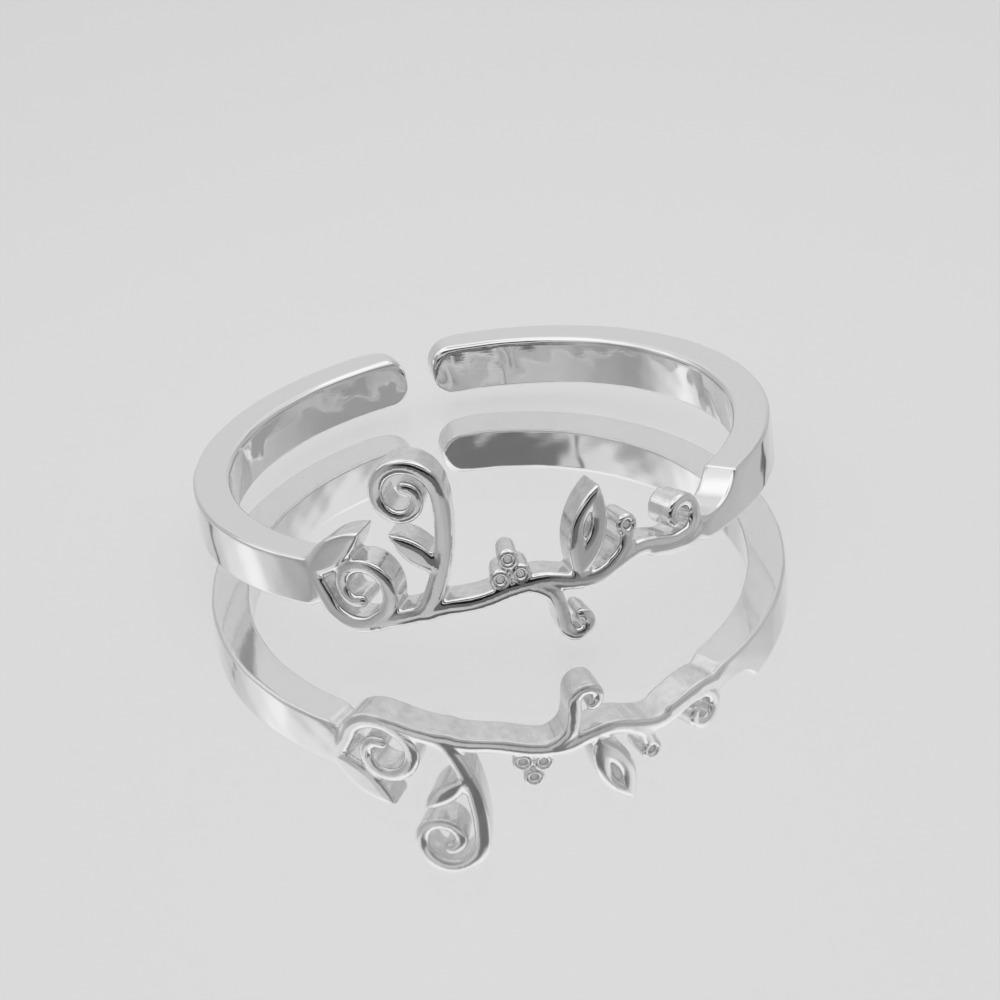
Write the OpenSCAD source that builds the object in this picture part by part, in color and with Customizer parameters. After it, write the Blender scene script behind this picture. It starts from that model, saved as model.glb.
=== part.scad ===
// An open finger ring in polished silver, cast in one piece. A flat band runs round the
// finger to two rounded ends that stand a little apart at the back, and pierced scrollwork
// joins its shoulders across the front. The ring lies on its side, as it rests by itself.

/* [Band] */
// Inner diameter, which sets the finger size
inner_d = 17.3; // [16.5:0.1:18.2]
// Thickness of the band, from the inner wall to the outer one
band_t = 1.35; // [1.2:0.05:1.6]
// Width of the band, along the ring's own axis
band_w = 1.75; // [1.65:0.05:1.9]

/* [Free ends] */
// Direction of the gap between the ends, counted from the right
gap_at = 102; // [95:1:110]
// Width of the gap between the ends
gap_w = 1.0; // [0.5:0.1:2.5]
// Radius of the corners of each end
end_r = 0.8; // [0.3:0.05:0.8]

/* [Shoulders] */
// Where the left shoulder stops, along the front from its middle
left_end = -6.5; // [-6.8:0.1:-6.2]
// Where the right shoulder stops
right_end = 7.5; // [7.2:0.1:7.8]
// Where the hollow in the right shoulder is deepest
hollow_at = 8.25; // [8.1:0.05:8.4]
// Height of the hollow's floor above the band's middle
hollow_floor = 0.02; // [0:0.01:0.1]
// Radius of the hollow
hollow_r = 2.0; // [1.8:0.1:2.2]

/* [Scrollwork] */
// Width of the running stem
stem_w = 0.6; // [0.54:0.02:0.66]
// How far the scrollwork's inner wall stands back from the band's
scroll_ease = 0.1; // [0.06:0.02:0.14]

/* [Hidden] */
$fn = 96;

inner_r = inner_d / 2;
outer_r = inner_r + band_t;
scroll_r = inner_r + scroll_ease;
// Past a face that a cut goes through
past = 0.4;
// The scrollwork is drawn on a flat sheet in front of the ring, whose points move straight
// to the axis, so that its walls stay radial. It spans this angle to each side.
scroll_half = 52;
sheet_out = outer_r + past;
sheet_in = inner_r * cos(scroll_half) - past;
// Heights that hold all of the scrollwork
scroll_low = -3;
scroll_high = 6;
// Direction of the front
front = -90;
// Half of the gap, and how far round a rounded corner reaches, as angles
gap_half = gap_w / (inner_r + outer_r) * 180 / PI;
corner_half = asin(end_r / outer_r);
// Length of a stem's straight steps
step = 0.3;

// The running stem, left to right, columns: along, up
STEM = [
    [-4.3, -1.2], [-3.1, -0.95], [-1.9, -0.72], [-0.7, -0.6], [0.4, -0.32], [1.4, -0.22],
    [2.4, -0.46], [3.3, -0.54], [4.2, -0.22], [5.0, -0.05], [5.8, -0.22], [6.8, -0.5],
    [7.6, -0.42], [8.4, -0.4]
];

// Scrolls: a lead from the stem, then a spiral whose end stays clear of its own turns
// Spiral columns: along, up, start radius, end radius, start angle, sweep
// Lead columns: along, up
FERN_LEAD = [[-2.6, -0.8], [-2.15, 0.1], [-1.8, 1.1], [-1.62, 2.3]];
FERN = [-2.9, 3.35, 1.27, 0.36, 0, 430];
CURL_LEAD = [[-6.7, 0.3]];
CURL = [-4.9, -0.05, 1.5, 0.42, 190, 440];
TENDRIL_LEAD = [[1.2, -0.35], [1.72, -0.8], [1.9, -1.45]];
TENDRIL = [2.45, -1.95, 0.52, 0.28, 175, 250];
tendril_w = 0.56;
tendril_tip_w = 0.42;
VINE_END_LEAD = [[5.6, -0.25], [6.3, -0.42]];
VINE_END = [6.85, 0.45, 0.78, 0.34, 262, 300];
BUD_STALK = [[4.1, -0.2], [4.45, 0.2], [4.6, 0.7]];
// Each stem's path, and its width at the start and at the end
STEMS = [
    [STEM, stem_w, stem_w],
    [concat(FERN_LEAD, spiral(FERN)), 0.66, 0.46],
    [concat(CURL_LEAD, spiral(CURL)), 0.66, 0.46],
    [concat(TENDRIL_LEAD, spiral(TENDRIL)), tendril_w, tendril_tip_w],
    [concat(VINE_END_LEAD, spiral(VINE_END)), 0.6, 0.42],
    [BUD_STALK, 0.54, 0.5]
];

// Leaves, columns: along, up, heading, length, width
LEAVES = [
    [-1.8, 0.55, 140, 2.3, 0.8],
    [-7.2, 0.2, 35, 3.2, 1.05],
    [2.6, -0.5, 70, 3.4, 1.3]
];
// Slits in leaves, same columns
SLITS = [[3.04, 0.9, 70, 0.95, 0.24]];

// Berries, columns: along, up, radius, hole radius
BERRIES = [
    [0.0, 0.1, 0.37, 0.13],
    [0.7, 0.2, 0.37, 0.13],
    [0.34, 0.78, 0.37, 0.13],
    [4.6, 0.95, 0.39, 0.14]
];

// The lowest point of the scrollwork, at the inner wall, is the tendril's
foot_turn = 270 - TENDRIL[4];
foot_share = foot_turn / TENDRIL[5];
foot_drop = TENDRIL[2] + (TENDRIL[3] - TENDRIL[2]) * foot_share + (tendril_w + tendril_tip_w) / 4;

function polar(r, a) = [r * cos(a), r * sin(a)];
function az(along) = front + along / outer_r * 180 / PI;
function spiral(row, turn = 30) =
    let (n = round(row[5] / turn))
    [for (i = [0 : n])
        let (t = i / n, r = row[2] + (row[3] - row[2]) * t)
        [row[0], row[1]] + polar(r, row[4] + row[5] * t)];
// A smooth curve through all points of a path
function bend(a, b, c, d, t) =
    let (c1 = c - a, c2 = 2 * a - 5 * b + 4 * c - d, c3 = 3 * b - a - 3 * c + d)
    (2 * b + c1 * t + c2 * t * t + c3 * t * t * t) / 2;
function smooth(p) =
    let (last = len(p) - 1)
    concat(
        [for (i = [0 : last - 1])
            let (n = ceil(norm(p[i + 1] - p[i]) / step))
            for (k = [0 : n - 1]) bend(p[max(i - 1, 0)], p[i], p[i + 1], p[min(i + 2, last)], k / n)],
        [p[last]]
    );
function side(p, i) =
    let (d = p[min(i + 1, len(p) - 1)] - p[max(i - 1, 0)])
    [-d[1], d[0]] / norm(d);
// The outline of a stem with round ends, whose width runs from w0 to w1
function stem_outline(p, w0, w1) =
    let (
        last = len(p) - 1,
        half = [for (i = [0 : last]) (w0 + (w1 - w0) * i / last) / 2],
        s0 = side(p, 0),
        s1 = side(p, last),
        cap = [30 : 30 : 150]
    )
    concat(
        [for (i = [0 : last]) p[i] + side(p, i) * half[i]],
        [for (a = cap) p[last] + half[last] * (s1 * cos(a) + [s1[1], -s1[0]] * sin(a))],
        [for (i = [last : -1 : 0]) p[i] - side(p, i) * half[i]],
        [for (a = cap) p[0] - half[0] * (s0 * cos(a) + [s0[1], -s0[0]] * sin(a))]
    );
// The outline of a leaf, two equal arcs between its base and its tip
function leaf_outline(row) =
    let (
        l = row[3] / 2,
        w = row[4] / 2,
        r = (l * l + w * w) / (2 * w),
        half = asin(l / r),
        n = 12,
        arc = [for (i = [0 : n]) half * (2 * i / n - 1)],
        upper = [for (a = arc) [l + r * sin(a), r * cos(a) - r + w]],
        lower = [for (i = [n - 1 : -1 : 1]) [upper[i][0], -upper[i][1]]],
        ahead = polar(1, row[2]),
        aside = polar(1, row[2] + 90)
    )
    [for (q = concat(upper, lower)) [row[0], row[1]] + q[0] * ahead + q[1] * aside];
function round_outline(row, r) = [for (a = [0 : 20 : 340]) [row[0], row[1]] + polar(r, a)];
// From the band's own surface to the flat sheet
function on_sheet(outline) =
    [for (q = outline) [-sheet_out * tan(q[0] / outer_r * 180 / PI), q[1]]];

// Puts a shape so that it looks along the radius in the direction a, with +Y along the axis
module radial(a) rotate([0, 0, a]) rotate([90, 0, 90]) children();

module shape(outline) polygon(on_sheet(outline));

module scroll_sheet() difference() {
    union() {
        for (row = STEMS) shape(stem_outline(smooth(row[0]), row[1], row[2]));
        for (row = LEAVES) shape(leaf_outline(row));
        for (row = BERRIES) shape(round_outline(row, row[2]));
    }
    for (row = BERRIES) shape(round_outline(row, row[3]));
    for (row = SLITS) shape(leaf_outline(row));
}

// The wall between the scrollwork's inner and outer surface, as high as the scrollwork needs
module wall(low, high) difference() {
    translate([0, 0, low]) cylinder(r = outer_r, h = high - low);
    translate([0, 0, low - past]) cylinder(r = scroll_r, h = high - low + 2 * past);
}

module scrollwork() intersection() {
    depth = sheet_out - sheet_in;
    taper = [sheet_in / sheet_out, 1];
    wall(scroll_low, scroll_high);
    rotate([0, 0, front]) translate([sheet_out, 0, 0]) rotate([90, 0, -90])
        linear_extrude(height = depth, scale = taper, slices = 1, $fn = 0) scroll_sheet();
}

// What the two rounded corners of a free end take away, at the direction a
module end_corners(a, way) for (up = [-1, 1])
    radial(a) translate([0, 0, inner_r - past]) linear_extrude(height = band_t + 2 * past)
        translate([-way * end_r, up * (band_w / 2 - end_r)]) difference() {
            translate([way, up] * (end_r + past) / 2) square(end_r + past, center = true);
            circle(end_r);
        }

module band() {
    from = az(right_end);
    first = gap_at - gap_half;
    second = gap_at + gap_half;
    to = az(left_end) + 360;
    difference() {
        union() {
            rotate_extrude(start = from, angle = first - from)
                translate([inner_r, -band_w / 2]) square([band_t, band_w]);
            rotate_extrude(start = second, angle = to - second)
                translate([inner_r, -band_w / 2]) square([band_t, band_w]);
        }
        end_corners(first, 1);
        end_corners(second, -1);
        radial(az(hollow_at)) translate([0, hollow_floor + hollow_r, inner_r - past])
            cylinder(r = hollow_r, h = band_t + 2 * past);
    }
}

// Turns and lifts the ring so that its three lowest points lie on z = 0: the tendril's foot,
// and the lower edge of each free end where its rounded corner starts
module rest() {
    foot = concat(polar(scroll_r, az(TENDRIL[0])), [TENDRIL[1] - foot_drop]);
    first = concat(polar(outer_r, gap_at - gap_half - corner_half), [-band_w / 2]);
    second = concat(polar(outer_r, gap_at + gap_half + corner_half), [-band_w / 2]);
    floor_up = cross(first - foot, second - foot);
    up = floor_up / norm(floor_up);
    translate([0, 0, -up * foot]) rotate(a = acos(up[2]), v = cross(up, [0, 0, 1])) children();
}

module scroll_ring() color("silver") rest() {
    band();
    scrollwork();
}

scroll_ring();
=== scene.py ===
import math

import bpy
import numpy as np
from mathutils import Matrix, Vector


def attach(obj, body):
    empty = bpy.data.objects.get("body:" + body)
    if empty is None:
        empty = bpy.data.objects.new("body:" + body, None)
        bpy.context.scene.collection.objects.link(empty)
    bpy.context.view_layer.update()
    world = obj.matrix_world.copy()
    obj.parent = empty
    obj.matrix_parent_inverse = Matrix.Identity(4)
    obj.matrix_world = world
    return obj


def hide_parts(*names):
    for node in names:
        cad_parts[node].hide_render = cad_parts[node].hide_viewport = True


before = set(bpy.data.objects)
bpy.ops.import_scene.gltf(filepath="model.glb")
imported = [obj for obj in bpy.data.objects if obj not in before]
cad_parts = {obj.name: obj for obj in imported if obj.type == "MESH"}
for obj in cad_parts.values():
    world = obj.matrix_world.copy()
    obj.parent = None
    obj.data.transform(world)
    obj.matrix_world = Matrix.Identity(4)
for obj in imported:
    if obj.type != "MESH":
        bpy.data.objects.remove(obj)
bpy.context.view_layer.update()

# An open finger ring in polished silver, lying on its side. Its surface is worked out as a
# signed distance from the same driving sizes as the solid, so that every edge is softly
# rounded and every stem runs into the next with a small fillet.

# Sizes of the ring, in millimetres, as in the part's source
MM = 0.001
INNER_R = 8.65
OUTER_R = 10.0
BAND_W = 1.75
GAP_AT = 102.0         # direction of the gap between the free ends, in degrees
GAP_W = 1.0
END_R = 0.8            # radius of the corners of each end
LEFT_END = -6.5
RIGHT_END = 7.5
HOLLOW_AT = 8.25
HOLLOW_FLOOR = 0.02
HOLLOW_R = 2.0
FRONT = -90.0          # direction of the front, in degrees

# The running stem, left to right, columns: along, up
STEM = [
    (-4.3, -1.2), (-3.1, -0.95), (-1.9, -0.72), (-0.7, -0.6), (0.4, -0.32), (1.4, -0.22),
    (2.4, -0.46), (3.3, -0.54), (4.2, -0.22), (5.0, -0.05), (5.8, -0.22), (6.8, -0.5),
    (7.6, -0.42), (8.4, -0.4),
]
STEM_W = 0.6
SCROLL_EASE = 0.1      # how far the scrollwork's inner wall stands back from the band's
# Scrolls: a lead from the stem, columns along, up, then a spiral
# Spiral columns: along, up, start radius, end radius, start angle, sweep
FERN_LEAD = [(-2.6, -0.8), (-2.15, 0.1), (-1.8, 1.1), (-1.62, 2.3)]
FERN = (-2.9, 3.35, 1.27, 0.36, 0, 430)
CURL_LEAD = [(-6.7, 0.3)]
CURL = (-4.9, -0.05, 1.5, 0.42, 190, 440)
TENDRIL_LEAD = [(1.2, -0.35), (1.72, -0.8), (1.9, -1.45)]
TENDRIL = (2.45, -1.95, 0.52, 0.28, 175, 250)
TENDRIL_W = 0.56
TENDRIL_TIP_W = 0.42
VINE_END_LEAD = [(5.6, -0.25), (6.3, -0.42)]
VINE_END = (6.85, 0.45, 0.78, 0.34, 262, 300)
BUD_STALK = [(4.1, -0.2), (4.45, 0.2), (4.6, 0.7)]
# Leaves and their slits, columns: along, up, heading, length, width
LEAVES = [
    (-1.8, 0.55, 140, 2.3, 0.8),
    (-7.2, 0.2, 35, 3.2, 1.05),
    (2.6, -0.5, 70, 3.4, 1.3),
]
SLITS = [(3.04, 0.9, 70, 0.95, 0.24)]
# Berries, columns: along, up, radius, hole radius
BERRIES = [
    (0.0, 0.1, 0.37, 0.13),
    (0.7, 0.2, 0.37, 0.13),
    (0.34, 0.78, 0.37, 0.13),
    (4.6, 0.95, 0.39, 0.14),
]

# Finish of the surface, in millimetres
FILLET = 0.22          # how far two stems that meet blend into each other
HOLE_FILLET = 0.05     # the same, where a hole or the hollow is cut
SHOULDER_R = 0.5       # radius of the shoulders' corners
STROKE_DOME = 0.065    # how much the scrollwork's outer face is domed
DOME_REACH = 0.32      # how far from a side that dome reaches
CROWN = 0.012          # how much the band's outer and inner walls bulge
SHOULDER_FADE = 0.9    # over which length the scrollwork's finish turns into the band's

# Rounding of the edges, in millimetres, across and deep
BAND_EDGE = (0.14, 0.13)            # the band's outer edges
STROKE_EDGE = (0.11, 0.10)          # the scrollwork's outer edges
INNER_EDGE = (0.23, 0.19)           # the band's upper edge on the finger's side
LOWER_EDGE = (0.08, 0.08)           # the band's lower edge on that side
EDGE_FADE = 0.9                     # over which height the one turns into the other
STROKE_INNER_EDGE = (0.14, 0.12)    # the scrollwork's edges on that side
END_EDGE = (0.55, 0.50)             # the outer edges at the free ends
END_INNER_EDGE = (0.36, 0.26)       # the upper edge at the free ends, on the finger's side
END_FADE = 1.6                      # over which length these turn into the band's

# Slow waves that polishing by hand leaves in the walls
# Columns: turns a millimetre along, turns a millimetre up, start in turns, height
WAVES = [
    (0.31, 0.22, 0.06, 0.0050), (0.47, -0.35, 0.33, 0.0035), (0.83, 0.41, 0.70, 0.0020),
    (0.62, -0.90, 0.19, 0.0018),
]
INNER_START = 0.37     # the inner wall's waves start this many turns further on

# Grid on which the surface is found, in millimetres
FINE = 0.07            # spacing along the front and up
COARSE = 0.22          # spacing along the plain band
PAST_END = 0.2         # how far past a free end the grid goes
END_REACH = 1.8        # how far from a free end it is fine
PAST_LEFT = 2.2        # how far it is fine past the left shoulder's end
PAST_HOLLOW = 0.4      # the same, past the right shoulder's hollow
LOWEST = -2.85         # where the grid starts and ends, up
HIGHEST = 5.0
THIN = 0.045           # spacing outward, near the two walls
THICK = 0.11           # the same, between them
PAST_WALL = 0.1        # how far past a wall the grid goes
INNER_REACH = 0.2      # how far from the inner wall it is fine
OUTER_REACH = 0.3      # the same, from the outer wall

# How a place on the surface is found
PATH_STEP = 0.08       # length of a path's straight steps, in millimetres
SPIRAL_TURN = 30       # degrees from one point of a spiral to the next
STEM_REACH = 1.24      # how far from a stem its distance is worked out
FAR = 9.0              # distance given to the points beyond
SLOPE_STEP = 0.004     # step over which a slope is measured
MOVES = 3              # how often each point moves onto the surface
MOVE_LIMIT = 0.06      # how far it moves at a time
LEAST_SLOPE = 0.05     # the least square of a slope that a move divides by
UNTIE_ROUNDS = 6       # how often the grid is looked through for crosswise corners


def polar(r, degrees):
    return r * math.cos(math.radians(degrees)), r * math.sin(math.radians(degrees))


def spiral(row):
    """The points of a spiral, start to end."""
    along, up, r0, r1, start, sweep = row
    n = round(sweep / SPIRAL_TURN)
    points = []
    for i in range(n + 1):
        dx, dy = polar(r0 + (r1 - r0) * i / n, start + sweep * i / n)
        points.append((along + dx, up + dy))
    return points


def smooth_path(points):
    """A smooth curve (Catmull-Rom) through all points, cut into short straight steps."""
    p = np.array(points, float)
    last = len(p) - 1
    out = []
    for i in range(last):
        a, b, c, d = p[max(i - 1, 0)], p[i], p[i + 1], p[min(i + 2, last)]
        n = max(1, math.ceil(np.linalg.norm(c - b) / PATH_STEP))
        for t in np.arange(n) / n:
            c1, c2, c3 = c - a, 2 * a - 5 * b + 4 * c - d, 3 * b - a - 3 * c + d
            out.append((2 * b + c1 * t + c2 * t * t + c3 * t ** 3) / 2)
    out.append(p[last])
    return np.array(out)


# Each stem's path, and its width at the start and at the end
STEMS = [
    (smooth_path(STEM), STEM_W, STEM_W),
    (smooth_path(FERN_LEAD + spiral(FERN)), 0.66, 0.46),
    (smooth_path(CURL_LEAD + spiral(CURL)), 0.66, 0.46),
    (smooth_path(TENDRIL_LEAD + spiral(TENDRIL)), TENDRIL_W, TENDRIL_TIP_W),
    (smooth_path(VINE_END_LEAD + spiral(VINE_END)), 0.6, 0.42),
    (smooth_path(BUD_STALK), 0.54, 0.5),
]


def smooth_min(a, b, k):
    """The lesser of two distances, with a fillet of reach k where they are alike."""
    h = np.maximum(k - np.abs(a - b), 0) / k
    return np.minimum(a, b) - h * h * k / 4


def smooth_max(a, b, k):
    return -smooth_min(-a, -b, k)


def stem_distance(s, z, path, w0, w1):
    """Distance to a stem whose width runs from w0 to w1, for points near it."""
    d = np.full(s.shape, FAR)
    reach = max(w0, w1) / 2 + STEM_REACH
    low, high = path.min(0) - reach, path.max(0) + reach
    near = (s > low[0]) & (s < high[0]) & (z > low[1]) & (z < high[1])
    x, y = s[near], z[near]
    if not len(x):
        return d
    half = np.linspace(w0, w1, len(path)) / 2
    best = np.full(x.shape, FAR)
    for a, b, ra, rb in zip(path[:-1], path[1:], half[:-1], half[1:]):
        ab = b - a
        t = np.clip(((x - a[0]) * ab[0] + (y - a[1]) * ab[1]) / (ab @ ab), 0, 1)
        gap = np.hypot(x - a[0] - t * ab[0], y - a[1] - t * ab[1])
        best = np.minimum(best, gap - ra - (rb - ra) * t)
    d[near] = best
    return d


def disc_distance(s, z, along, up, r):
    return np.hypot(s - along, z - up) - r


def leaf_distance(s, z, row):
    """Distance to a leaf, the space that two equal discs share."""
    along, up, heading, length, width = row
    half_l, half_w = length / 2, width / 2
    r = (half_l ** 2 + half_w ** 2) / (2 * half_w)
    mid = np.array([along, up]) + polar(half_l, heading)
    shift = np.array(polar(r - half_w, heading + 90))
    sides = [disc_distance(s, z, *(mid + k * shift), r) for k in (-1, 1)]
    return np.maximum(*sides)


def arm_distance(s, z, low, high, gap_side):
    """Distance to one arm of the band, whose end at the gap has rounded corners."""
    mid, half = (low + high) / 2, (high - low) / 2
    r = np.where((s - mid) * gap_side > 0, END_R, SHOULDER_R)
    qx = np.abs(s - mid) - half + r
    qz = np.abs(z) - BAND_W / 2 + r
    outside = np.hypot(np.maximum(qx, 0), np.maximum(qz, 0))
    return outside + np.minimum(np.maximum(qx, qz), 0) - r


def along_of(degrees):
    """The place along the front, at the outer wall, of a direction round the ring."""
    return math.radians(degrees - FRONT) * OUTER_R


GAP_HALF = math.degrees(GAP_W / (INNER_R + OUTER_R))
LEFT_GAP_END = along_of(GAP_AT + GAP_HALF - 360)
RIGHT_GAP_END = along_of(GAP_AT - GAP_HALF)


def outline_distance(s, z):
    """Distance to the ring's outline, unrolled: negative inside."""
    right = arm_distance(s, z, RIGHT_END, RIGHT_GAP_END, 1)
    hollow = disc_distance(s, z, HOLLOW_AT, HOLLOW_FLOOR + HOLLOW_R, HOLLOW_R)
    right = smooth_max(right, -hollow, HOLE_FILLET)
    d = np.minimum(right, arm_distance(s, z, LEFT_GAP_END, LEFT_END, -1))
    for path, w0, w1 in STEMS:
        d = smooth_min(d, stem_distance(s, z, path, w0, w1), FILLET)
    for row in LEAVES:
        d = smooth_min(d, leaf_distance(s, z, row), FILLET)
    for along, up, r, hole in BERRIES:
        d = smooth_min(d, disc_distance(s, z, along, up, r), FILLET / 2)
    for along, up, r, hole in BERRIES:
        d = smooth_max(d, -disc_distance(s, z, along, up, hole), HOLE_FILLET)
    for row in SLITS:
        d = smooth_max(d, -leaf_distance(s, z, row), HOLE_FILLET)
    return d


def rounded(inset, depth, edge):
    """Signed size of a corner between a side and a face, rounded by edge = (across, deep)."""
    across, deep = edge
    x, y = 1 - inset / across, 1 - depth / deep
    unit = np.minimum(across, deep)
    corner = np.hypot(np.maximum(x, 0), np.maximum(y, 0))
    return unit * (corner + np.minimum(np.maximum(x, y), 0) - 1)


def fade(t):
    """A soft step from 0 to 1, as t goes from 0 to 1."""
    t = np.clip(t, 0, 1)
    return t * t * (3 - 2 * t)


def scroll_share(s):
    """1 where the surface has the scrollwork's finish, 0 where it has the band's."""
    return fade(1 - np.maximum(LEFT_END - s, s - RIGHT_END) / SHOULDER_FADE)


def end_share(s):
    """1 at the free ends, 0 where the rest of the band begins."""
    return fade(1 - np.minimum(s - LEFT_GAP_END, RIGHT_GAP_END - s) / END_FADE)


def waves(s, z, start):
    """How far the polishing waves take a wall back into the metal, as 0 or less."""
    turns = [(a * s + b * z + c + start, height) for a, b, c, height in WAVES]
    return sum(height * (np.sin(2 * math.pi * t) - 1) for t, height in turns)


def mixed(low, high, share):
    """Sizes that go from low to high as the share goes from 0 to 1."""
    return [(1 - share) * a + share * b for a, b in zip(low, high)]


def ring_size(d, s, z, rho):
    """Signed size of the whole ring at the outline distance d and the radius rho."""
    share = scroll_share(s)
    inset = -d
    rise = np.clip(1 - inset / DOME_REACH, 0, 1)
    bulge = (1 - share) * CROWN * np.minimum((2 * z / BAND_W) ** 2, 1)
    face = OUTER_R - share * STROKE_DOME * rise * rise - bulge + waves(s, z, 0)
    wall = INNER_R + share * SCROLL_EASE + bulge - waves(s, z, INNER_START)
    at_end = end_share(s)
    upper = fade(0.5 + z / EDGE_FADE)
    outer_edge = mixed(mixed(BAND_EDGE, STROKE_EDGE, share), END_EDGE, at_end)
    inner_edge = mixed(LOWER_EDGE, mixed(INNER_EDGE, END_INNER_EDGE, at_end), upper)
    inner_edge = mixed(inner_edge, STROKE_INNER_EDGE, share)
    outer = rounded(inset, face - rho, outer_edge)
    inner = rounded(inset, rho - wall, inner_edge)
    return np.maximum(outer, inner)


def lines(stops):
    """Grid lines through stops, columns: where, spacing from there on."""
    out = []
    for (a, h), (b, _) in zip(stops[:-1], stops[1:]):
        out += list(np.linspace(a, b, max(2, round((b - a) / h) + 1))[:-1])
    return np.array(out + [stops[-1][0]])


def grid():
    """Grid lines along the unrolled front, up and outward."""
    s = lines([
        (LEFT_GAP_END - PAST_END, FINE), (LEFT_GAP_END + END_REACH, COARSE),
        (LEFT_END - PAST_LEFT, FINE), (HOLLOW_AT + HOLLOW_R + PAST_HOLLOW, COARSE),
        (RIGHT_GAP_END - END_REACH, FINE), (RIGHT_GAP_END + PAST_END, FINE),
    ])
    z = lines([(LOWEST, FINE), (HIGHEST, FINE)])
    rho = lines([
        (INNER_R - PAST_WALL, THIN), (INNER_R + INNER_REACH, THICK),
        (OUTER_R - OUTER_REACH, THIN), (OUTER_R + PAST_WALL, THIN),
    ])
    return s, z, rho


# The corners of a grid face, in the order that goes round it
SQUARE = [(0, 0), (0, 1), (1, 1), (1, 0)]


def untie(values):
    """Turns the weakest corner wherever a grid face has inside and outside corners crosswise,
    because two sheets of the surface would share an edge there."""
    for _ in range(UNTIE_ROUNDS):
        turned = 0
        for axis in range(3):
            line = np.moveaxis(values, axis, 0)
            corners = np.stack([line[:, i:line.shape[1] - 1 + i, j:line.shape[2] - 1 + j]
                                for i, j in SQUARE], -1)
            inside = corners < 0
            tied = (inside[..., 0] == inside[..., 2]) & (inside[..., 1] == inside[..., 3])
            tied &= inside[..., 0] != inside[..., 1]
            at = np.stack(np.nonzero(tied), 1)
            weakest = np.abs(corners[tied]).argmin(1)
            steps = np.array(SQUARE)[weakest]
            line[at[:, 0], at[:, 1] + steps[:, 0], at[:, 2] + steps[:, 1]] *= -1
            turned += len(at)
        if not turned:
            return


def ends_along(values, axis):
    """The values at the near and at the far end of every grid edge along an axis."""
    line = np.moveaxis(values, axis, 0)
    return np.moveaxis(line[:-1], 0, axis), np.moveaxis(line[1:], 0, axis)


def surface_net(axes, values):
    """Points near the zero surface of values on a grid, and the four-sided faces between."""
    inside = values < 0
    shape = tuple(n - 1 for n in values.shape)
    total = np.zeros(shape + (3,))
    count = np.zeros(shape)
    window = (slice(None, -1), slice(1, None))
    for axis in range(3):
        others = [k for k in range(3) if k != axis]
        a, b = ends_along(values, axis)
        cross = (a < 0) != (b < 0)
        t = np.where(cross, a / np.where(cross, a - b, 1), 0)
        place = np.zeros(cross.shape + (3,))
        for k in range(3):
            line = axes[k][:-1] if k == axis else axes[k]
            view = [1, 1, 1]
            view[k] = len(line)
            place[..., k] = line.reshape(view)
        gap = np.diff(axes[axis]).reshape([-1 if k == axis else 1 for k in range(3)])
        place[..., axis] += t * gap
        place *= cross[..., None]
        for first in window:
            for second in window:
                cut = [slice(None)] * 3
                cut[others[0]], cut[others[1]] = first, second
                total += place[tuple(cut)]
                count += cross[tuple(cut)]
    used = count > 0
    number = np.full(shape, -1)
    number[used] = np.arange(used.sum())
    points = total[used] / count[used][:, None]
    faces = []
    for axis in range(3):
        u, v = [(1, 2), (2, 0), (0, 1)][axis]
        a, b = ends_along(inside, axis)
        i, j, k = np.nonzero(a != b)
        at = np.stack([i, j, k], 1)
        keep = (at[:, u] > 0) & (at[:, v] > 0)
        keep &= (at[:, u] < values.shape[u] - 1) & (at[:, v] < values.shape[v] - 1)
        at = at[keep]
        corner = []
        for du, dv in ((-1, -1), (0, -1), (0, 0), (-1, 0)):
            c = at.copy()
            c[:, u] += du
            c[:, v] += dv
            corner.append(number[c[:, 0], c[:, 1], c[:, 2]])
        quad = np.stack(corner, 1)
        out = a[at[:, 0], at[:, 1], at[:, 2]]
        faces.append(np.where(out[:, None], quad, quad[:, ::-1]))
    return points, np.concatenate(faces)


def slope(points):
    """The size at each point, and its slope along the unrolled front, up and outward."""
    s, z, rho = points.T
    h = SLOPE_STEP
    d = outline_distance(s, z)
    size = ring_size(d, s, z, rho)
    ds = [ring_size(outline_distance(s + k, z), s + k, z, rho) for k in (h, -h)]
    dz = [ring_size(outline_distance(s, z + k), s, z + k, rho) for k in (h, -h)]
    dr = [ring_size(d, s, z, rho + k) for k in (h, -h)]
    grad = np.stack([ds[0] - ds[1], dz[0] - dz[1], dr[0] - dr[1]], 1) / (2 * h)
    return size, grad


def ring_surface():
    """Points, faces and normals of the ring in its own frame, in millimetres, then the same
    points unrolled, and how much each lies in a pierced wall of the scrollwork."""
    axes = grid()
    s, z = np.meshgrid(axes[0], axes[1], indexing="ij")
    d = outline_distance(s.ravel(), z.ravel()).reshape(s.shape)
    values = ring_size(d[..., None], s[..., None], z[..., None], axes[2][None, None, :])
    untie(values)
    points, faces = surface_net(axes, values)
    for _ in range(MOVES):
        size, grad = slope(points)
        move = -size[:, None] * grad / np.maximum((grad ** 2).sum(1), LEAST_SLOPE)[:, None]
        points = points + np.clip(move, -MOVE_LIMIT, MOVE_LIMIT)
    size, grad = slope(points)
    angle = np.radians(FRONT) + points[:, 0] / OUTER_R
    rho = points[:, 2]
    out = np.stack([np.cos(angle), np.sin(angle), 0 * angle], 1)
    aside = np.stack([-np.sin(angle), np.cos(angle), 0 * angle], 1)
    normal = grad[:, 2:3] * out + grad[:, 0:1] * (OUTER_R / rho)[:, None] * aside
    normal[:, 2] += grad[:, 1]
    normal /= np.linalg.norm(normal, axis=1)[:, None]
    place = rho[:, None] * out
    place[:, 2] = points[:, 1]
    print("ring surface:", len(place), "points,", len(faces), "faces, furthest point off by",
          np.abs(size).max())
    pierced = scroll_share(points[:, 0]) * (1 - np.abs((normal * out).sum(1)))
    return place, faces, normal, points, pierced


# Direction in which a spiral is lowest, in degrees
DOWN = 270


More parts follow.
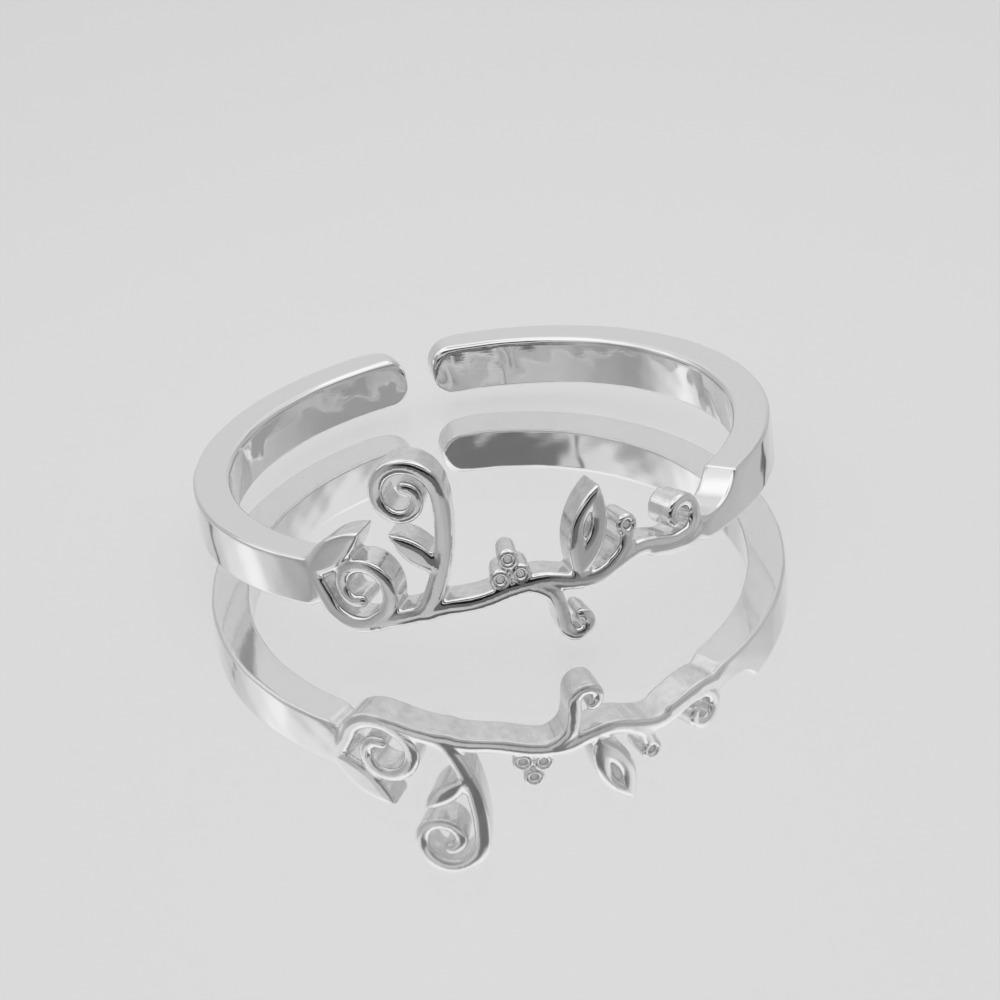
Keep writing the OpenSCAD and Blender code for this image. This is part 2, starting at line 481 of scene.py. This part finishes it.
def resting():
    """The turn and lift that lay the ring on its three lowest points."""
    corner = math.degrees(math.asin(END_R / OUTER_R))
    along, up, r0, r1, start, sweep = TENDRIL
    drop = r0 + (r1 - r0) * (DOWN - start) / sweep + (TENDRIL_W + TENDRIL_TIP_W) / 4
    foot_at = polar(INNER_R + SCROLL_EASE, FRONT + math.degrees(along / OUTER_R))
    foot = Vector((*foot_at, up - drop))
    ends = [GAP_AT - GAP_HALF - corner, GAP_AT + GAP_HALF + corner]
    first, second = [Vector((*polar(OUTER_R, a), -BAND_W / 2)) for a in ends]
    floor_up = (first - foot).cross(second - foot).normalized()
    turn = floor_up.rotation_difference(Vector((0, 0, 1))).to_matrix().to_4x4()
    return Matrix.Translation((0, 0, -floor_up.dot(foot) * MM)) @ turn


def ring_object(rest):
    """The ring at rest, with what its material needs to know of each point."""
    place, faces, normal, unrolled, pierced = ring_surface()
    mesh = bpy.data.meshes.new("scroll_ring_surface")
    mesh.from_pydata((place * MM).tolist(), [], faces.tolist())
    mesh.validate()
    mesh.polygons.foreach_set("use_smooth", [True] * len(mesh.polygons))
    mesh.transform(rest)
    turn = np.array(rest.to_3x3())
    mesh.normals_split_custom_set_from_vertices((normal @ turn.T).tolist())
    mesh.attributes.new("unrolled", "FLOAT_VECTOR", "POINT")
    mesh.attributes["unrolled"].data.foreach_set("vector", unrolled.ravel())
    mesh.attributes.new("pierced", "FLOAT", "POINT")
    mesh.attributes["pierced"].data.foreach_set("value", pierced)
    mesh.update()
    ring = bpy.data.objects.new("silver_ring", mesh)
    bpy.context.scene.collection.objects.link(ring)
    return ring


class Nodes:
    """Short calls for the nodes of one tree."""

    def __init__(self, tree):
        self.tree = tree

    def add(self, kind, *inputs, **settings):
        node = self.tree.nodes.new(kind)
        for name, value in settings.items():
            setattr(node, name, value)
        for socket, value in zip(node.inputs, inputs):
            self.feed(socket, value)
        return node

    def feed(self, socket, value):
        if isinstance(value, bpy.types.NodeSocket):
            self.tree.links.new(value, socket)
        elif value is not None:
            socket.default_value = value

    def math(self, operation, *inputs):
        return self.add("ShaderNodeMath", *inputs, operation=operation).outputs[0]

    def noise(self, place, scale, detail):
        node = self.add("ShaderNodeTexNoise", place)
        self.feed(node.inputs["Scale"], scale)
        self.feed(node.inputs["Detail"], detail)
        return node.outputs["Fac"]

    def stretched(self, place, scale):
        node = self.add("ShaderNodeVectorMath", place, scale, operation="MULTIPLY")
        return node.outputs[0]

    def bump(self, height, distance, normal=None):
        node = self.add("ShaderNodeBump")
        self.feed(node.inputs["Height"], height)
        self.feed(node.inputs["Distance"], distance)
        self.feed(node.inputs["Normal"], normal)
        return node.outputs["Normal"]

    def ramp(self, value, stops, interpolation="EASE"):
        """A ramp through stops, columns: place, colour."""
        node = self.add("ShaderNodeValToRGB", value)
        node.color_ramp.interpolation = interpolation
        points = node.color_ramp.elements
        for i, (place, colour) in enumerate(stops):
            point = points[i] if i < 2 else points.new(place)
            point.position = place
            point.color = colour
        return node


def grey(level):
    return level, level, level, 1


# Texture of the silver: noise cells a millimetre, and heights in millimetres
HAIR_CELLS = (0.5, 24.0, 24.0)     # hairlines run round the band
HAIR_HEIGHT = 0.0007
SKIN_CELLS = 3.2                   # the cast skin that polishing leaves in the pierced walls
SKIN_HEIGHT = 0.006
PEEL_CELLS = 2.2                   # the faint unevenness of the polished faces
PEEL_HEIGHT = 0.0016
CLOUD_CELLS = 0.7                  # patches that are polished more or less
HAIR_DETAIL = 2.0
SKIN_DETAIL = 3.0
# How rough the silver is, and how much each texture adds to that
ROUGH = 0.02
HAIR_ROUGH = 0.03
CLOUD_ROUGH = 0.03
SKIN_ROUGH = 0.16
# The silver's grey, from the polished faces to the deepest places of the cast skin
# Columns: how deep, grey
TINTS = [(0.0, 0.93), (0.30, 0.90), (0.75, 0.74)]


def silver():
    """High-polish silver with hairlines, and with cast skin in the pierced walls."""
    material = bpy.data.materials.new("polished_silver")
    material.use_nodes = True
    tree = material.node_tree
    make = Nodes(tree)
    shader = tree.nodes["Principled BSDF"]
    place = make.add("ShaderNodeAttribute", attribute_name="unrolled").outputs["Vector"]
    pierced = make.add("ShaderNodeAttribute", attribute_name="pierced").outputs["Fac"]
    hair = make.noise(make.stretched(place, HAIR_CELLS), 1.0, HAIR_DETAIL)
    skin = make.noise(place, SKIN_CELLS, SKIN_DETAIL)
    peel = make.noise(place, PEEL_CELLS, 1.0)
    cloud = make.noise(place, CLOUD_CELLS, 1.0)
    bumps = make.math("MULTIPLY", pierced, skin)
    rough = make.math("MULTIPLY_ADD", hair, HAIR_ROUGH, ROUGH)
    rough = make.math("MULTIPLY_ADD", cloud, CLOUD_ROUGH, rough)
    rough = make.math("MULTIPLY_ADD", bumps, SKIN_ROUGH, rough)
    deep = make.math("MULTIPLY", pierced, make.math("SUBTRACT", 1.0, skin))
    colour = make.ramp(deep, [(place, grey(level)) for place, level in TINTS], "LINEAR")
    normal = make.bump(hair, HAIR_HEIGHT * MM)
    normal = make.bump(peel, PEEL_HEIGHT * MM, normal)
    normal = make.bump(bumps, SKIN_HEIGHT * MM, normal)
    make.feed(shader.inputs["Base Color"], colour.outputs["Color"])
    make.feed(shader.inputs["Roughness"], rough)
    make.feed(shader.inputs["Normal"], normal)
    shader.inputs["Metallic"].default_value = 1.0
    return material


# How bright the room round the ring is. In front stands a dark shape, seen against a dim
# wall, a soft light stands behind on either side, and the backdrop has two dark edges.
# Columns: degrees from the front, positive to the right, then the light near the horizon,
# at the height of the soft lights, and high up, and how dark an edge of the backdrop is
ROOM = [
    (-180, 0.65, 0.65, 0.75, 0), (-166, 0.62, 0.62, 0.73, 0), (-150, 0.52, 0.52, 0.67, 0),
    (-144, 0.50, 0.50, 0.67, 0), (-142.6, 0.48, 0.50, 0.66, 0.8),
    (-140.4, 0.48, 0.51, 0.67, 0.8), (-139, 0.48, 0.52, 0.72, 0), (-124, 0.46, 0.70, 0.86, 0),
    (-111, 0.46, 0.90, 0.92, 0), (-98, 0.44, 0.60, 0.86, 0), (-87, 0.38, 0.38, 0.84, 0),
    (-77, 0.26, 0.26, 0.80, 0), (-64, 0.30, 0.32, 0.74, 0), (-51, 0.36, 0.42, 0.70, 0),
    (-48, 0.30, 0.44, 0.05, 0), (-45, 0.22, 0.46, 0.60, 0), (-36, 0.06, 0.49, 0.03, 0),
    (-24, 0.01, 0.49, 0.01, 0), (0, 0.01, 0.41, 0.01, 0), (16, 0.01, 0.34, 0.02, 0),
    (30, 0.10, 0.27, 0.14, 0), (42, 0.34, 0.26, 0.60, 0), (65, 0.42, 0.27, 0.80, 0),
    (77, 0.42, 0.29, 0.82, 0), (104, 0.42, 0.42, 0.78, 0), (118, 0.46, 0.46, 0.70, 0),
    (136.4, 0.44, 0.44, 0.67, 0), (137.6, 0.45, 0.45, 0.67, 0.95),
    (140.4, 0.46, 0.46, 0.67, 0.95), (141.6, 0.50, 0.50, 0.67, 0), (160, 0.60, 0.60, 0.72, 0),
    (180, 0.65, 0.65, 0.75, 0),
]
# How much of each light shows at which height in the room
# Columns: sine of the elevation, then a share for each of the three lights and the ceiling
HEIGHTS = [
    (0.0, 1, 0, 0, 0), (0.26, 1, 0, 0, 0), (0.295, 0, 1, 0, 0), (0.33, 0, 1, 0, 0),
    (0.48, 0, 1.16, 0, 0), (0.53, 0, 1.16, 0, 0), (0.60, 0, 0, 1, 0), (0.72, 0, 0, 1, 0),
    (0.84, 0, 0, 0, 1), (0.96, 0, 0, 0, 0.9), (0.985, 0, 0, 0, 0.75), (0.992, 0, 0, 0, 0.48),
    (1.0, 0, 0, 0, 0.45),
]
# How much of the backdrop's edges shows, columns: sine of the elevation, share
EDGE_HEIGHTS = [(0.40, 0.0), (0.43, 1.0), (0.50, 1.0), (0.52, 0.0)]
CEILING = 1.05    # how bright the ceiling is


def studio():
    """The room as the world's light, worked out from the direction looked in."""
    world = bpy.data.worlds.new("studio")
    world.use_nodes = True
    make = Nodes(world.node_tree)
    background = world.node_tree.nodes["Background"]
    look = make.add("ShaderNodeTexCoord").outputs["Generated"]
    x, y, z = make.add("ShaderNodeSeparateXYZ", look).outputs
    around = make.math("ARCTAN2", x, make.math("MULTIPLY", y, -1.0))
    turn = make.math("MULTIPLY_ADD", around, 0.5 / math.pi, 0.5)
    room = make.ramp(turn, [((row[0] + 180) / 360, row[1:]) for row in ROOM])
    heights = make.ramp(z, [(row[0], row[1:]) for row in HEIGHTS])
    shown = make.add("ShaderNodeVectorMath", room.outputs["Color"], heights.outputs["Color"],
                     operation="DOT_PRODUCT").outputs["Value"]
    edge = make.ramp(z, [(place, grey(level)) for place, level in EDGE_HEIGHTS])
    dark = make.math("MULTIPLY", room.outputs["Alpha"], edge.outputs["Color"])
    shown = make.math("MULTIPLY", shown, make.math("SUBTRACT", 1.0, dark))
    light = make.math("MULTIPLY_ADD", heights.outputs["Alpha"], CEILING, shown)
    make.feed(background.inputs["Strength"], light)
    background.inputs["Color"].default_value = grey(1)
    bpy.context.scene.world = world


# The floor: a pale, mirror-bright board, and a clear sheet on it, on which the ring lies
BOARD_SIZE = 6.0        # in metres
BOARD_GREY = 0.86
BOARD_MIRROR = 0.78     # share of the light that the board mirrors
SHEET_T = 0.74          # how far the sheet's top is over the board, in millimetres
SHEET_GLOSS = 0.03      # share of the light that the sheet mirrors
SHEET_GREY = 0.8        # grey of what it mirrors
GLOSS_ROUGH = 0.03
# Light goes to and fro many times between the board and the band's lower face
BOUNCES = 10


def plate(name, look, under, level, mirrored, share):
    """A flat stage piece, of a plain shader and a grey, with a share of gloss over it."""
    material = bpy.data.materials.new(look)
    material.use_nodes = True
    material.node_tree.nodes.clear()
    make = Nodes(material.node_tree)
    plain = make.add(under, grey(level))
    gloss = make.add("ShaderNodeBsdfGlossy", grey(mirrored), GLOSS_ROUGH)
    mix = make.add("ShaderNodeMixShader", share, plain.outputs[0], gloss.outputs[0])
    make.add("ShaderNodeOutputMaterial", mix.outputs[0])
    bpy.ops.mesh.primitive_grid_add(x_subdivisions=1, y_subdivisions=1, size=1)
    obj = bpy.context.object
    obj.name = name
    obj.scale = (BOARD_SIZE, BOARD_SIZE, 1)
    obj.data.materials.append(material)
    return obj


# The photo's view of the ring, in the ring's own frame, in millimetres and degrees: how far
# the camera is, how high over the plane of the ring it stands, how it is rolled, and how far
# the ring's centre lies from the middle of the picture
VIEW_DISTANCE = 200.0
VIEW_FOCAL = 5821.0
VIEW_ELEVATION = 23.91
VIEW_ROLL = -8.36
VIEW_SHIFT = (-0.56, -1.25)
PICTURE = 1000.0             # the picture's width, in the unit of the focal length
SENSOR = 36.0
CLIP = (0.01, 20)            # nearest and furthest distance that the camera sees, in metres


def camera(rest):
    """The photo's camera, around the ring at rest."""
    e, r = math.radians(VIEW_ELEVATION), math.radians(VIEW_ROLL)
    looks = Matrix((
        (1, 0, 0),
        (0, -math.sin(e), -math.cos(e)),
        (0, math.cos(e), -math.sin(e)),
    ))
    rolled = Matrix.Rotation(r, 3, "Z") @ looks
    shift = Vector((*VIEW_SHIFT, VIEW_DISTANCE))
    place = -(rolled.transposed() @ shift) * MM
    axes = Matrix((rolled[0], -rolled[1], -rolled[2])).transposed()
    data = bpy.data.cameras.new("camera")
    data.sensor_width = SENSOR
    data.lens = VIEW_FOCAL / PICTURE * SENSOR
    data.clip_start, data.clip_end = CLIP
    obj = bpy.data.objects.new("camera", data)
    obj.matrix_world = rest @ Matrix.Translation(place) @ axes.to_4x4()
    bpy.context.scene.collection.objects.link(obj)
    bpy.context.scene.camera = obj


rest = resting()
camera(rest)
studio()
board = plate("floor", "pale_floor", "ShaderNodeBsdfDiffuse", BOARD_GREY, 1, BOARD_MIRROR)
board.location.z = -SHEET_T * MM
plate("clear_sheet", "clear_sheet", "ShaderNodeBsdfTransparent", 1, SHEET_GREY, SHEET_GLOSS)
ring = ring_object(rest)
ring.data.materials.append(silver())
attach(ring, "root")
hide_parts("scroll_ring")
bpy.context.scene.view_settings.view_transform = "Standard"
bpy.context.scene.cycles.glossy_bounces = BOUNCES
